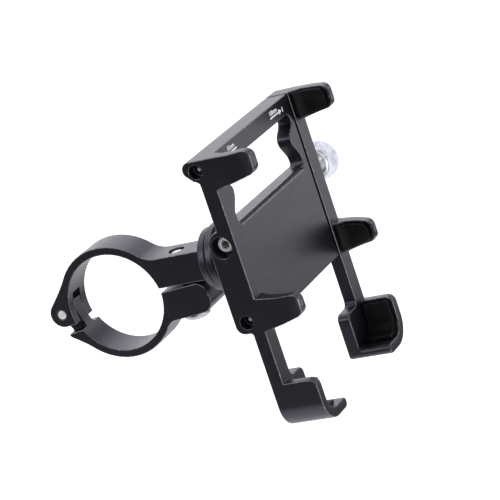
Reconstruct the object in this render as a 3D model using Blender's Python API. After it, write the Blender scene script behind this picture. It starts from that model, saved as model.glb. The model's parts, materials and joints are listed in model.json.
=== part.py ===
"""Handlebar phone mount: a two-piece hinged clamp, a swivel and a screw-driven holder.

The origin is the centre of the handlebar bore. X runs along the handlebar towards the moving
jaw, +Z runs up the holder towards its marked top bar, and the phone lies on the -Y side.
Sizes below are in millimetres. "Depth" is the distance from the bore's centre towards the
phone, so it is minus Y.
"""
import math

import bmesh
import bpy
from mathutils import Matrix, Vector

MM = 0.001

# Handlebar clamp
BORE_RADIUS = 15.9
RING_RADIUS = 18.4
CLAMP_HALF_WIDTH = 5.45
UPPER_SPLIT = 2.55
LOWER_SPLIT = 1.65
ARM_TOP = 11.75
ARM_END = 34.5
ARM_FILLET = 8.5
PIN_DEPTH = -19.4
PIN_RADIUS = 1.3
LUG_RADIUS = 4.0
LUG_FLOOR = -3.7
SLOT_HALF_WIDTH = 2.35
TONGUE_HALF_WIDTH = 2.05
SLOT_TOP = 5.5
SHOULDER = -6.1
REST_CLOSING = math.radians(4.7)
EAR_FLOOR = -10.95
EAR_END = 30.7
EAR_CORNER = 3.6
EAR_FILLET = 4.0
BOLT_DEPTH = 22.5
BOLT_RADIUS = 1.95
BOLT_HOLE_RADIUS = 2.45
BOLT_RELIEF_RADIUS = 2.9
BOLT_RELIEF_TOP = 8.4
BOLT_HEAD_RADIUS = 4.0
BOLT_HEAD_TOP = -7.85
BOLT_HEAD_HEIGHT = 1.75
SPOT_FACE_RADIUS = 4.4
SPOT_FACE_TOP = -7.55
BOLT_TIP = 11.2

# Swivel between the arm and the holder
SWIVEL_Z = 7.1
FLANGE_BACK = 33.3
FLANGE_FRONT = 35.8
FLANGE_RADIUS = 9.35
WASHER_RADIUS = 9.0
WASHER_BACK = 35.9
WASHER_FRONT = 36.2
HUB_BACK = 36.3
HUB_RING_RADIUS = 10.45
HUB_RING_FRONT = 39.0
HUB_NECK_RADIUS = 8.2
SPINDLE_RADIUS = 4.0
SPINDLE_STUD_RADIUS = 2.5
SPINDLE_STUD_BACK = 28.0
SPINDLE_FRONT = 46.2
GROOVE_RADIUS = 3.2
GROOVE_BACK = 40.0
GROOVE_FRONT = 43.6
SET_SCREW_RADIUS = 1.45

# Holder
HALF_WIDTH = 31.8
RAIL = 6.0
JOINT_GAP = 1.3
FRONT = 60.0
RAIL_BACK = 55.4
BODY_BACK = 51.45
TOP = 44.6
PLATE_BOTTOM = -6.5
WINDOW_BOTTOM = 23.4
BAR_FLOOR = 39.25
SCREW_Z = 18.9
SCREW_DEPTH = 55.3
ROD_SPACING = 22.5
BOSS_RADIUS = 2.4
BOSS_DEPTH = 53.75
TUNNEL_RADIUS = 4.75
TUNNEL_CENTRE = (56.2, 19.0)
FINGER_TIP = 72.4
FINGER_BEND = 66.3
FINGER_LEAN = 2.0
FINGER_ROOT = 5.2
CUP_FRONT = 70.0
CUP_BACK = 56.0
CUP_TOP = -23.1
CUP_FLOOR = -37.4
CUP_WALL = 3.0
CUP_LIP = 13.8
CUP_LIP_HEIGHT = 3.0
CUP_CORNER = 7.4
CUP_NOSE = 1.35
PAD_GAP = 0.15
PAD_THICKNESS = 1.0
CUP_PAD_END = 8.8

# Drive screw, knob and guide rods
DRIVE_RADIUS = 2.45
DRIVE_HOLE_RADIUS = 2.6
DRIVE_BORE_RADIUS = 3.25
DRIVE_BORE_END = 19.3
DRIVE_START = -25.9
DRIVE_END = 41.5
STOP_HEAD_START = -29.2
STOP_HEAD_LENGTH = 2.5
STOP_HEAD_RADIUS = 2.25
STOP_SHANK_RADIUS = 1.15
STOP_SHANK_END = -21.5
STOP_WASHER_RADIUS = 3.0
CLIP_GROOVE_RADIUS = 2.05
CLIP_START = 26.15
CLIP_THICKNESS = 0.5
CLIP_INNER_RADIUS = 2.2
CLIP_OUTER_RADIUS = 3.1
COLLAR_RADIUS = 4.7
COLLAR_END = 37.45
KNOB_RADIUS = 5.9
KNOB_NECK_RADIUS = 4.3
KNOB_TAPER = 2.0
KNOB_START = 37.6
KNOB_END = 42.8
ROD_RADIUS = 1.5
ROD_HOLE_RADIUS = 1.7
ROD_START = -29.3
ROD_END = 30.5
ROD_COUNTERBORE_RADIUS = 2.05
ROD_COUNTERBORE_DEPTH = 3.0

ROUND_STEPS = 40
SMALL_STEPS = 24
JOINT_X = HALF_WIDTH - RAIL
BOSS_CENTRE = (BOSS_DEPTH, TOP - BOSS_RADIUS)


def clear_scene():
    for thing in list(bpy.data.objects):
        bpy.data.objects.remove(thing, do_unlink=True)


# Materials

def principled(name, colour, roughness, metallic):
    finish = bpy.data.materials.new(name)
    finish.use_nodes = True
    shader = finish.node_tree.nodes["Principled BSDF"]
    shader.inputs["Base Color"].default_value = (*colour, 1.0)
    shader.inputs["Roughness"].default_value = roughness
    shader.inputs["Metallic"].default_value = metallic
    finish.diffuse_color = (*colour, 1.0)
    return finish


def black_anodised():
    return principled("black_anodised", (0.035, 0.036, 0.04), 0.42, 0.9)


def black_rubber():
    return principled("black_rubber", (0.012, 0.012, 0.013), 0.8, 0.0)


def bright_steel():
    return principled("bright_steel", (0.62, 0.62, 0.63), 0.25, 1.0)


def dark_nylon():
    return principled("dark_nylon", (0.03, 0.03, 0.03), 0.55, 0.0)


# Outlines

def arc(centre, radius, start, end, steps):
    """Points on a circle from one angle to another, in degrees."""
    points = []
    for index in range(steps + 1):
        angle = math.radians(start + (end - start) * index / steps)
        points.append((centre[0] + radius * math.cos(angle), centre[1] + radius * math.sin(angle)))
    return points


def bezier(start, control_a, control_b, end, steps):
    """Points on a cubic curve, without its last point."""
    points = []
    for index in range(steps):
        t = index / steps
        weights = ((1 - t) ** 3, 3 * t * (1 - t) ** 2, 3 * t * t * (1 - t), t ** 3)
        corners = (start, control_a, control_b, end)
        points.append(tuple(sum(w * c[axis] for w, c in zip(weights, corners)) for axis in (0, 1)))
    return points


def moved(points, centre, angle):
    """The outline turned about a centre, angle in radians."""
    cosine, sine = math.cos(angle), math.sin(angle)
    turned_points = []
    for a, b in points:
        da, db = a - centre[0], b - centre[1]
        turned_points.append((centre[0] + da * cosine - db * sine, centre[1] + da * sine + db * cosine))
    return turned_points


# Solids

def side_point(pair, x):
    """(depth, z) drawn on the side of the holder."""
    return Vector((x, -pair[0], pair[1]))


def plan_point(pair, z):
    """(x, depth) drawn on the top view."""
    return Vector((pair[0], -pair[1], z))


def front_point(pair, depth):
    """(x, z) drawn on the phone side."""
    return Vector((pair[0], -depth, pair[1]))


def new_object(name, mesh_edit):
    bmesh.ops.recalc_face_normals(mesh_edit, faces=mesh_edit.faces)
    mesh = bpy.data.meshes.new(name)
    mesh_edit.to_mesh(mesh)
    mesh_edit.free()
    thing = bpy.data.objects.new(name, mesh)
    bpy.context.scene.collection.objects.link(thing)
    return thing


def prism(name, outline, place, low, high):
    """An outline extruded between two positions along the axis that place() leaves free."""
    mesh_edit = bmesh.new()
    base = [mesh_edit.verts.new(place(pair, low)) for pair in outline]
    cap = [mesh_edit.verts.new(place(pair, high)) for pair in outline]
    mesh_edit.faces.new(base)
    mesh_edit.faces.new(reversed(cap))
    count = len(outline)
    for index in range(count):
        after = (index + 1) % count
        mesh_edit.faces.new((base[index], cap[index], cap[after], base[after]))
    return new_object(name, mesh_edit)


def turned(name, profile, origin, axis, steps):
    """A solid of revolution: profile is (position along axis, radius), both ends on the axis."""
    direction = Vector(axis).normalized()
    rotation = Vector((0, 0, 1)).rotation_difference(direction).to_matrix().to_4x4()
    frame = Matrix.Translation(Vector(origin)) @ rotation
    mesh_edit = bmesh.new()
    rings = []
    for position, radius in profile:
        if radius == 0:
            rings.append([mesh_edit.verts.new(frame @ Vector((0, 0, position)))])
            continue
        ring = []
        for index in range(steps):
            angle = 2 * math.pi * index / steps
            point = Vector((radius * math.cos(angle), radius * math.sin(angle), position))
            ring.append(mesh_edit.verts.new(frame @ point))
        rings.append(ring)
    for lower, upper in zip(rings, rings[1:]):
        for index in range(steps):
            after = (index + 1) % steps
            corners = [lower[index % len(lower)], lower[after % len(lower)],
                       upper[after % len(upper)], upper[index % len(upper)]]
            mesh_edit.faces.new(list(dict.fromkeys(corners)))
    return new_object(name, mesh_edit)


def drum(name, start, end, radius, origin, axis, steps=SMALL_STEPS, chamfer=0.0):
    """A plain or chamfered cylinder along an axis."""
    profile = [(start, 0)]
    if chamfer:
        profile += [(start, radius - chamfer), (start + chamfer, radius)]
        profile += [(end - chamfer, radius), (end, radius - chamfer)]
    else:
        profile += [(start, radius), (end, radius)]
    profile.append((end, 0))
    return turned(name, profile, origin, axis, steps)


def combine(target, tools, operation):
    """Applies one Boolean of all the tools to the target, and removes the tools."""
    group = bpy.data.collections.new("tools")
    for tool in tools:
        group.objects.link(tool)
    modifier = target.modifiers.new("combine", "BOOLEAN")
    modifier.operation = operation
    modifier.solver = "EXACT"
    if len(tools) == 1:
        modifier.object = tools[0]
    else:
        modifier.operand_type = "COLLECTION"
        modifier.collection = group
    bpy.context.view_layer.update()
    evaluated = target.evaluated_get(bpy.context.evaluated_depsgraph_get())
    result = bpy.data.meshes.new_from_object(evaluated)
    target.modifiers.clear()
    target.data = result
    for tool in tools:
        bpy.data.objects.remove(tool, do_unlink=True)
    bpy.data.collections.remove(group)
    return target


def union(target, *tools):
    return combine(target, tools, "UNION")


def cut(target, *tools):
    return combine(target, tools, "DIFFERENCE")


def overlap(target, tool):
    return combine(target, (tool,), "INTERSECT")


def finish(thing, material, pivot):
    """Brings a solid drawn in millimetres to metres, with its origin at the pivot and its material."""
    shift = Vector(pivot)
    thing.data.transform(Matrix.Scale(MM, 4) @ Matrix.Translation(-shift))
    thing.location = shift * MM
    thing.data.materials.clear()
    thing.data.materials.append(material)
    thing.data.shade_smooth()
    thing.data.set_sharp_from_angle(angle=math.radians(28))
    return thing


# Clamp

def fillet_centre(level, radius):
    """Centre of a fillet between the ring's outside and a flat at a height above or below it."""
    height = level + math.copysign(radius, level)
    return (math.sqrt((RING_RADIUS + radius) ** 2 - height ** 2), height)


def upper_outline():
    """Upper half of the ring with the arm and the hinge lug, as (depth, z)."""
    start = math.degrees(math.asin(UPPER_SPLIT / BORE_RADIUS))
    centre = fillet_centre(ARM_TOP, ARM_FILLET)
    bearing = math.degrees(math.atan2(centre[1], centre[0]))
    lug_start = 140
    ring_end = 145
    pin = (PIN_DEPTH, 0)
    points = [(ARM_END, UPPER_SPLIT), (ARM_END, ARM_TOP)]
    points += arc(centre, ARM_FILLET, 270, 180 + bearing, 7)
    points += arc((0, 0), RING_RADIUS, bearing, ring_end, 17)[1:]
    ring_foot = points.pop()
    lug_head = arc(pin, LUG_RADIUS, lug_start, lug_start, 1)[0]
    points += bezier(ring_foot, (-16.9, 8.0), (-20.7, 4.35), lug_head, 5)
    points += arc(pin, LUG_RADIUS, lug_start, 270, 9)
    inner_end = 180 + math.degrees(math.asin(-LUG_FLOOR / BORE_RADIUS))
    points += arc((0, 0), BORE_RADIUS, inner_end, start, 30)
    return points


def lower_outline():
    """Lower half of the ring with its bolt ear, before it is closed onto the bar."""
    ear_start = math.degrees(math.asin(LOWER_SPLIT / BORE_RADIUS))
    shoulder_angle = 180 + math.degrees(math.asin(-SHOULDER / BORE_RADIUS))
    centre = fillet_centre(EAR_FLOOR, EAR_FILLET)
    bearing = math.degrees(math.atan2(centre[1], centre[0]))
    corner = EAR_CORNER
    points = arc((EAR_END - corner, -LOWER_SPLIT - corner), corner, 90, 0, 5)
    points += arc((EAR_END - corner, EAR_FLOOR + corner), corner, 0, -90, 5)
    points += arc(centre, EAR_FILLET, 90, 180 + bearing, 4)
    points += arc((0, 0), RING_RADIUS, bearing, -134, 15)[1:]
    points += [(-15.1, -10.9), (-17.3, -9.1), (-19.2, -7.7)]
    points += arc((-19.3, -6.8), 0.5, 200, 100, 2)
    points += arc((0, 0), BORE_RADIUS, shoulder_angle, 360 - ear_start, 28)
    return points


def tongue_outline():
    """Middle knuckle of the hinge: it stands up from the lower half round the pin."""
    pin = (PIN_DEPTH, 0)
    radius = LUG_RADIUS - 0.2
    points = arc(pin, radius, 75, 235, 10)
    points += [(-19.0, SHOULDER - 2.0)]
    points += arc((0, 0), BORE_RADIUS, 180 + 31, 180 - 10, 7)
    return points


def clamp_arm(material):
    arm = prism("clamp_arm", upper_outline(), side_point, -CLAMP_HALF_WIDTH, CLAMP_HALF_WIDTH)
    swivel = (0, 0, SWIVEL_Z)
    profile = [(FLANGE_BACK, 0), (FLANGE_BACK, FLANGE_RADIUS - 0.3), (FLANGE_BACK + 0.4, FLANGE_RADIUS)]
    profile += [(FLANGE_FRONT - 0.3, FLANGE_RADIUS + 0.2), (FLANGE_FRONT, FLANGE_RADIUS - 0.1)]
    profile += [(FLANGE_FRONT, 0)]
    union(arm, turned("flange", profile, swivel, (0, -1, 0), ROUND_STEPS + 8))
    bolt_hole = [(0, 0), (0, BOLT_RELIEF_RADIUS), (BOLT_RELIEF_TOP, BOLT_RELIEF_RADIUS)]
    bolt_hole += [(BOLT_RELIEF_TOP + 0.6, BOLT_HOLE_RADIUS), (14, BOLT_HOLE_RADIUS), (14, 0)]
    slot = [(-26, LUG_FLOOR - 2), (-12, LUG_FLOOR - 2), (-12, SLOT_TOP), (-26, SLOT_TOP)]
    cut(
        arm,
        prism("slot", slot, side_point, -SLOT_HALF_WIDTH, SLOT_HALF_WIDTH),
        drum("pin_hole", -8, 8, PIN_RADIUS + 0.12, (0, -PIN_DEPTH, 0), (1, 0, 0)),
        turned("bolt_hole", bolt_hole, (0, -BOLT_DEPTH, 0), (0, 0, 1), SMALL_STEPS),
        drum("stud_hole", SPINDLE_STUD_BACK - 0.3, 38, SPINDLE_STUD_RADIUS + 0.15, swivel, (0, -1, 0)),
    )
    return finish(arm, material, (0, 0, 0))


def lower_clamp_shell(material):
    pin = (PIN_DEPTH, 0)
    ring = moved(lower_outline(), pin, REST_CLOSING)
    shell = prism("lower_clamp_shell", ring, side_point, -CLAMP_HALF_WIDTH, CLAMP_HALF_WIDTH)
    tongue = moved(tongue_outline(), pin, REST_CLOSING)
    union(shell, prism("tongue", tongue, side_point, -TONGUE_HALF_WIDTH, TONGUE_HALF_WIDTH))
    cut(
        shell,
        drum("pin_hole", -8, 8, PIN_RADIUS + 0.12, (0, -PIN_DEPTH, 0), (1, 0, 0)),
        drum("bolt_hole", -14, 4, BOLT_RADIUS + 0.25, (0, -BOLT_DEPTH, 0), (0, 0, 1)),
        drum("spot_face", -14, SPOT_FACE_TOP, SPOT_FACE_RADIUS, (0, -BOLT_DEPTH, 0), (0, 0, 1), ROUND_STEPS),
    )
    return finish(shell, material, (0, -PIN_DEPTH, 0))


def hinge_pin(material):
    reach = CLAMP_HALF_WIDTH + 0.05
    pin = drum("hinge_pin", -reach, reach, PIN_RADIUS, (0, -PIN_DEPTH, 0), (1, 0, 0), chamfer=0.2)
    return finish(pin, material, (0, -PIN_DEPTH, 0))


def clamp_bolt(material):
    foot = BOLT_HEAD_TOP - BOLT_HEAD_HEIGHT
    crown = arc((foot + 1.2, BOLT_HEAD_RADIUS - 1.2), 1.2, 180, 90, 4)
    profile = [(foot, 0)] + crown + [(BOLT_HEAD_TOP, BOLT_HEAD_RADIUS), (BOLT_HEAD_TOP, BOLT_RADIUS)]
    profile += [(BOLT_TIP - 0.4, BOLT_RADIUS), (BOLT_TIP, BOLT_RADIUS - 0.4), (BOLT_TIP, 0)]
    bolt = turned("clamp_bolt", profile, (0, -BOLT_DEPTH, 0), (0, 0, 1), SMALL_STEPS)
    cut(bolt, drum("socket", foot - 1, foot + 1.3, 1.3, (0, -BOLT_DEPTH, 0), (0, 0, 1), steps=6))
    return finish(bolt, material, (0, -BOLT_DEPTH, 0))


# Swivel

def swivel_spindle(material):
    profile = [(SPINDLE_STUD_BACK, 0), (SPINDLE_STUD_BACK, SPINDLE_STUD_RADIUS)]
    profile += [(FLANGE_FRONT + 0.1, SPINDLE_STUD_RADIUS), (FLANGE_FRONT + 0.1, SPINDLE_RADIUS)]
    profile += [(GROOVE_BACK, SPINDLE_RADIUS), (GROOVE_BACK + 0.8, GROOVE_RADIUS)]
    profile += [(GROOVE_FRONT - 0.8, GROOVE_RADIUS), (GROOVE_FRONT, SPINDLE_RADIUS)]
    profile += [(SPINDLE_FRONT, SPINDLE_RADIUS), (SPINDLE_FRONT, 0)]
    spindle = turned("swivel_spindle", profile, (0, 0, SWIVEL_Z), (0, -1, 0), SMALL_STEPS)
    return finish(spindle, material, (0, 0, SWIVEL_Z))


def swivel_washer(material):
    swivel = (0, 0, SWIVEL_Z)
    washer = drum("swivel_washer", WASHER_BACK, WASHER_FRONT, WASHER_RADIUS, swivel, (0, -1, 0), ROUND_STEPS)
    cut(washer, drum("eye", WASHER_BACK - 1, WASHER_FRONT + 1, SPINDLE_RADIUS + 0.25, swivel, (0, -1, 0)))
    return finish(washer, material, swivel)


def set_screw_place(side):
    depth = (GROOVE_BACK + GROOVE_FRONT) / 2
    return (0, -depth, SWIVEL_Z), (side, 0, 0)


def swivel_set_screw(name, side, material):
    """One of the two screws in the hub whose tips run in the spindle's groove."""
    place, axis = set_screw_place(side)
    tip, head = GROOVE_RADIUS + 0.25, HUB_NECK_RADIUS - 0.3
    screw = drum(name, tip, head, SET_SCREW_RADIUS, place, axis, 16, chamfer=0.35)
    cut(screw, drum("socket", HUB_NECK_RADIUS - 1.8, HUB_NECK_RADIUS + 1, 0.85, place, axis, 6))
    return finish(screw, material, place)


# Holder

def rod_heights():
    return (SCREW_Z + ROD_SPACING, SCREW_Z - ROD_SPACING)


def boss_slope(z):
    """Point at a height on the boss's sloping underside, which is tangent to its round back."""
    return (BOSS_CENTRE[0] + BOSS_CENTRE[1] - BOSS_RADIUS * math.sqrt(2) - z, z)


def rail_outline():
    """Side of a jaw from its top boss to the start of its cup, as (depth, z)."""
    lower_rod = rod_heights()[1]
    points = [(FRONT, -30), (FRONT, TOP)]
    points += arc(BOSS_CENTRE, BOSS_RADIUS, 90, 225, 9)
    points += [boss_slope(38.8), (BOSS_DEPTH + 0.9, 38.45), (RAIL_BACK - 0.1, 37.9), (RAIL_BACK, 36.6)]
    lean = math.degrees(math.acos((RAIL_BACK - TUNNEL_CENTRE[0]) / TUNNEL_RADIUS))
    points += arc(TUNNEL_CENTRE, TUNNEL_RADIUS, lean, 180, 6)
    points += arc((BODY_BACK + 2.5, lower_rod - 0.9), 2.5, 180, 270, 4)
    points += [(CUP_BACK - 0.5, lower_rod - 3.4), (CUP_BACK, lower_rod - 3.9), (CUP_BACK, -30)]
    return points


def plate_outline():
    """Section of the back plate between the two jaws, as (depth, z)."""
    lower_rod = rod_heights()[1]
    points = [(FRONT, PLATE_BOTTOM), (FRONT, WINDOW_BOTTOM - 1.0), (FRONT - 1.0, WINDOW_BOTTOM)]
    points += arc(TUNNEL_CENTRE, TUNNEL_RADIUS, 112, 180, 6)
    points += arc((BODY_BACK + 2.5, lower_rod - 0.4), 2.5, 180, 270, 4)
    points += [(BODY_BACK + 3.5, PLATE_BOTTOM)]
    return points


def bar_outline():
    """Section of the marked top bar, with its back rounded like the bosses."""
    back = arc(BOSS_CENTRE, BOSS_RADIUS, 90, 225, 9)
    return [(FRONT, BAR_FLOOR), (FRONT, TOP)] + back + [boss_slope(BAR_FLOOR)]


def window_edge(mirror):
    """The waved side of the window, from its top corner down, as (x, z)."""
    knots = [
        ((19.6, BAR_FLOOR + 1.0), (21.6, BAR_FLOOR), (22.9, 38.3), (22.6, 36.9)),
        ((22.6, 36.9), (22.2, 35.0), (18.4, 34.6), (18.4, 32.2)),
        ((18.4, 32.2), (18.4, 29.4), (21.9, 27.9), (21.9, 25.4)),
        ((21.9, 25.4), (21.9, 24.0), (21.4, WINDOW_BOTTOM), (20.3, WINDOW_BOTTOM)),
    ]
    points = []
    for knot in knots:
        points += bezier(*knot, 6)
    points.append((20.3, WINDOW_BOTTOM - 1.5))
    if mirror:
        middle = -2.1
        points = [(2 * middle - x, z) for x, z in points]
    return points


def strip(name, mirror):
    """The piece of the body beside the window that joins the top bar to the plate."""
    outer = -HALF_WIDTH + 1.0 if mirror else JOINT_X - JOINT_GAP
    edge = window_edge(mirror)
    outline = [(outer, edge[0][1]), *edge, (outer, edge[-1][1])]
    return prism(name, outline, front_point, RAIL_BACK, FRONT)


def finger_side(root_low, root_high, tip_low, tip_high, inset=0.0):
    """A finger seen from the side, with round corners at its tip, as (depth, z)."""
    tip = FINGER_TIP - 1.6 * bool(inset)
    upper, lower = 2.7 - inset, 3.0 - inset
    low, high = tip_low + inset, tip_high - inset
    root = FRONT - 2.0
    points = [(root, root_low + inset), (root, root_high - inset), (FRONT, root_high - inset)]
    points += arc((tip - upper, high - upper), upper, 88, 0, 5)
    points += arc((tip - lower, low + lower), lower, 0, -70, 5)
    return points


def finger_plan(side):
    """A finger seen from above: straight, then bent inwards, with a thicker root."""
    inward = [(0, FRONT - 2), (0, FINGER_BEND), (FINGER_LEAN - 0.4, FINGER_TIP - 1.3)]
    inward += [(FINGER_LEAN - 0.05, FINGER_TIP - 0.5), (FINGER_LEAN + 0.7, FINGER_TIP)]
    inward += [(4.5, FINGER_TIP), (4.9, FINGER_TIP - 0.4)]
    inward += finger_grip(0) + [(FINGER_ROOT, FRONT - 0.4), (FINGER_ROOT, FRONT - 2)]
    return [(side * (HALF_WIDTH - delta), depth) for delta, depth in inward]


def finger_grip(offset):
    """The hollow inner face of a finger from tip to root, moved inwards by an offset."""
    points = [(4.75 + offset, FINGER_TIP - 1.3), (3.6 + offset, 67.0), (3.4 + offset, 64.0)]
    points += [(3.75 + offset, 62.6 + 0.3 * offset), (4.6 + 0.7 * offset, 61.3 + 0.7 * offset)]
    return points


def pad_root(offset):
    """End of a finger pad's face, just off the front of the rail."""
    return (FINGER_ROOT + 0.6 * offset, FRONT + 0.05 + offset)


FINGERS = {
    "upper": (34.8, TOP, 37.0, TOP - 0.25),
    "lower": (-7.6, 2.8, -5.2, 1.7),
}


def finger(side, which):
    span = FINGERS[which]
    body = prism("finger", finger_side(*span), side_point, -HALF_WIDTH - 1, HALF_WIDTH + 1)
    return overlap(body, prism("plan", finger_plan(side), plan_point, -12, TOP + 2))


def cup_base_outline(side):
    """Floor of the bottom cup, stepping inwards from the leg, as (x, z)."""
    inward = [(0, -20), (RAIL, -20)]
    inward += bezier((RAIL, -20.6), (RAIL, -22.4), (RAIL + 0.6, -23.1), (RAIL + 2.4, -23.1), 5)
    inward += arc((CUP_LIP - 2.2, -25.3), 2.2, 90, 0, 5)
    inward += arc((CUP_LIP - CUP_NOSE, CUP_FLOOR + CUP_NOSE), CUP_NOSE, 0, -90, 4)
    inward += arc((CUP_CORNER, CUP_FLOOR + CUP_CORNER), CUP_CORNER, 270, 180, 8)
    return [(side * (HALF_WIDTH - delta), z) for delta, z in inward]


def cup_section(side, inner_offset=0.0, thickness=None, end=CUP_LIP, top=CUP_TOP):
    """J section of the cup's side wall and bottom lip, or of the pad that lines it, as (x, z)."""
    inner = CUP_CORNER - CUP_WALL - inner_offset
    floor = CUP_FLOOR + CUP_LIP_HEIGHT + inner_offset
    centre = (CUP_CORNER, floor + inner)
    if thickness is None:
        outline = arc((CUP_CORNER, CUP_FLOOR + CUP_CORNER), CUP_CORNER, 180, 270, 8)
        outline = [(0, top)] + outline + arc((end - CUP_NOSE, CUP_FLOOR + CUP_NOSE), CUP_NOSE, 270, 360, 4)
        outline += arc((end - CUP_NOSE, floor - CUP_NOSE), CUP_NOSE, 0, 90, 4)
    else:
        outline = [(CUP_WALL + inner_offset, top)] + arc(centre, inner, 180, 270, 6) + [(end, floor)]
        inner -= thickness
        floor += thickness
        outline += [(end, floor)]
    outline += arc(centre, inner, 270, 180, 6) + [(CUP_CORNER - inner, top)]
    return [(side * (HALF_WIDTH - delta), z) for delta, z in outline]


def cup(side):
    wall = prism("wall", cup_section(side), front_point, CUP_BACK, CUP_FRONT)
    radius = 2.3
    trim = [(50, CUP_TOP)] + arc((CUP_FRONT - radius, CUP_TOP - radius), radius, 90, 0, 4)
    trim += [(CUP_FRONT, -40), (50, -40)]
    overlap(wall, prism("trim", trim, side_point, -HALF_WIDTH - 1, HALF_WIDTH + 1))
    return union(wall, prism("base", cup_base_outline(side), front_point, CUP_BACK, FRONT))


def jaw(name, side):
    """One jaw: its rail, two fingers and the cup at the bottom."""
    edges = sorted((side * HALF_WIDTH, side * (HALF_WIDTH - RAIL)))
    rail = prism(name, rail_outline(), side_point, *edges)
    return union(rail, finger(side, "upper"), finger(side, "lower"), cup(side))


def rod_axis(height):
    return (0, -SCREW_DEPTH, height)


def hub():
    """The ring and neck behind the plate that turn on the spindle."""
    profile = [(HUB_BACK, 0), (HUB_BACK, HUB_RING_RADIUS - 0.3), (HUB_BACK + 0.3, HUB_RING_RADIUS)]
    profile += [(HUB_RING_FRONT - 0.6, HUB_RING_RADIUS), (HUB_RING_FRONT, HUB_RING_RADIUS - 0.8)]
    profile += [(HUB_RING_FRONT, HUB_NECK_RADIUS), (BODY_BACK + 1.0, HUB_NECK_RADIUS), (BODY_BACK + 1.0, 0)]
    return turned("hub", profile, (0, 0, SWIVEL_Z), (0, -1, 0), ROUND_STEPS + 8)


def holder_bores():
    """Cutters for the holes of the two rods, the drive screw, the spindle and its set screws."""
    cutters = []
    entry = -HALF_WIDTH + ROD_COUNTERBORE_DEPTH
    for height in rod_heights():
        cutters.append(drum("rod_hole", -33, 30, ROD_HOLE_RADIUS, rod_axis(height), (1, 0, 0)))
        cutters.append(drum("rod_entry", -33, entry, ROD_COUNTERBORE_RADIUS, rod_axis(height), (1, 0, 0)))
    axis = rod_axis(SCREW_Z)
    cutters.append(drum("drive_hole", -33, 30, DRIVE_HOLE_RADIUS, axis, (1, 0, 0)))
    cutters.append(drum("drive_bore", -33, DRIVE_BORE_END, DRIVE_BORE_RADIUS, axis, (1, 0, 0)))
    swivel = (0, 0, SWIVEL_Z)
    bore_end = SPINDLE_FRONT + 0.3
    cutters.append(drum("hub_bore", HUB_BACK - 1, bore_end, SPINDLE_RADIUS + 0.15, swivel, (0, -1, 0)))
    for side in (1, -1):
        place, direction = set_screw_place(side)
        radius = SET_SCREW_RADIUS + 0.12
        cutters.append(drum("screw_hole", 2, HUB_NECK_RADIUS + 1, radius, place, direction, 18))
    return cutters


def holder_body(material):
    left, right = -HALF_WIDTH + 1.0, JOINT_X - JOINT_GAP
    body = union(
        jaw("holder_body", -1),
        prism("plate", plate_outline(), side_point, left, right),
        prism("bar", bar_outline(), side_point, left, right),
        strip("left", True),
        strip("right", False),
        hub(),
    )
    cut(body, *holder_bores())
    return finish(body, material, (0, 0, SWIVEL_Z))


def moving_jaw(material):
    body = jaw("moving_jaw", 1)
    recess = CLIP_START + CLIP_THICKNESS + 0.15
    cutters = [
        drum("drive_hole", 20, 40, DRIVE_HOLE_RADIUS, rod_axis(SCREW_Z), (1, 0, 0)),
        drum("clip_recess", 20, recess, CLIP_OUTER_RADIUS + 0.3, rod_axis(SCREW_Z), (1, 0, 0)),
    ]
    for height in rod_heights():
        cutters.append(drum("rod_socket", 20, ROD_END + 0.1, ROD_RADIUS + 0.1, rod_axis(height), (1, 0, 0)))
    cut(body, *cutters)
    return finish(body, material, rod_axis(SCREW_Z))


def finger_pad(name, side, which, material):
    span = FINGERS[which]
    pad = prism(name, finger_side(*span, inset=0.7), side_point, -HALF_WIDTH - 1, HALF_WIDTH + 1)
    offsets = (PAD_GAP, PAD_GAP + PAD_THICKNESS)
    back, face = (finger_grip(offset) + [pad_root(offset)] for offset in offsets)
    outline = [(side * (HALF_WIDTH - delta), depth) for delta, depth in back + face[::-1]]
    overlap(pad, prism("strip", outline, plan_point, -12, TOP + 2))
    return finish(pad, material, (side * HALF_WIDTH, -FRONT, (span[0] + span[1]) / 2))


def cup_pad(name, side, material):
    outline = cup_section(side, PAD_GAP, 1.2, CUP_PAD_END, CUP_TOP - 0.9)
    pad = prism(name, outline, front_point, FRONT + 0.3, CUP_FRONT - 1.2)
    return finish(pad, material, (side * HALF_WIDTH, -FRONT, CUP_TOP))


# Drive screw and guide rods

def guide_rod(name, height, material):
    rod = drum(name, ROD_START, ROD_END, ROD_RADIUS, rod_axis(height), (1, 0, 0), 20, chamfer=0.4)
    return finish(rod, material, rod_axis(height))


def drive_screw(material):
    groove_start = CLIP_START - 0.1
    groove_end = CLIP_START + CLIP_THICKNESS + 0.1
    profile = [(DRIVE_START, 0), (DRIVE_START, DRIVE_RADIUS - 0.4), (DRIVE_START + 0.4, DRIVE_RADIUS)]
    profile += [(groove_start, DRIVE_RADIUS), (groove_start, CLIP_GROOVE_RADIUS)]
    profile += [(groove_end, CLIP_GROOVE_RADIUS), (groove_end, DRIVE_RADIUS)]
    profile += [(DRIVE_END - 0.4, DRIVE_RADIUS), (DRIVE_END, DRIVE_RADIUS - 0.4), (DRIVE_END, 0)]
    axis = rod_axis(SCREW_Z)
    screw = turned("drive_screw", profile, axis, (1, 0, 0), SMALL_STEPS)
    cut(screw, drum("tapping", -30, STOP_SHANK_END + 0.2, STOP_SHANK_RADIUS + 0.12, axis, (1, 0, 0), 16))
    return finish(screw, material, axis)


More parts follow.
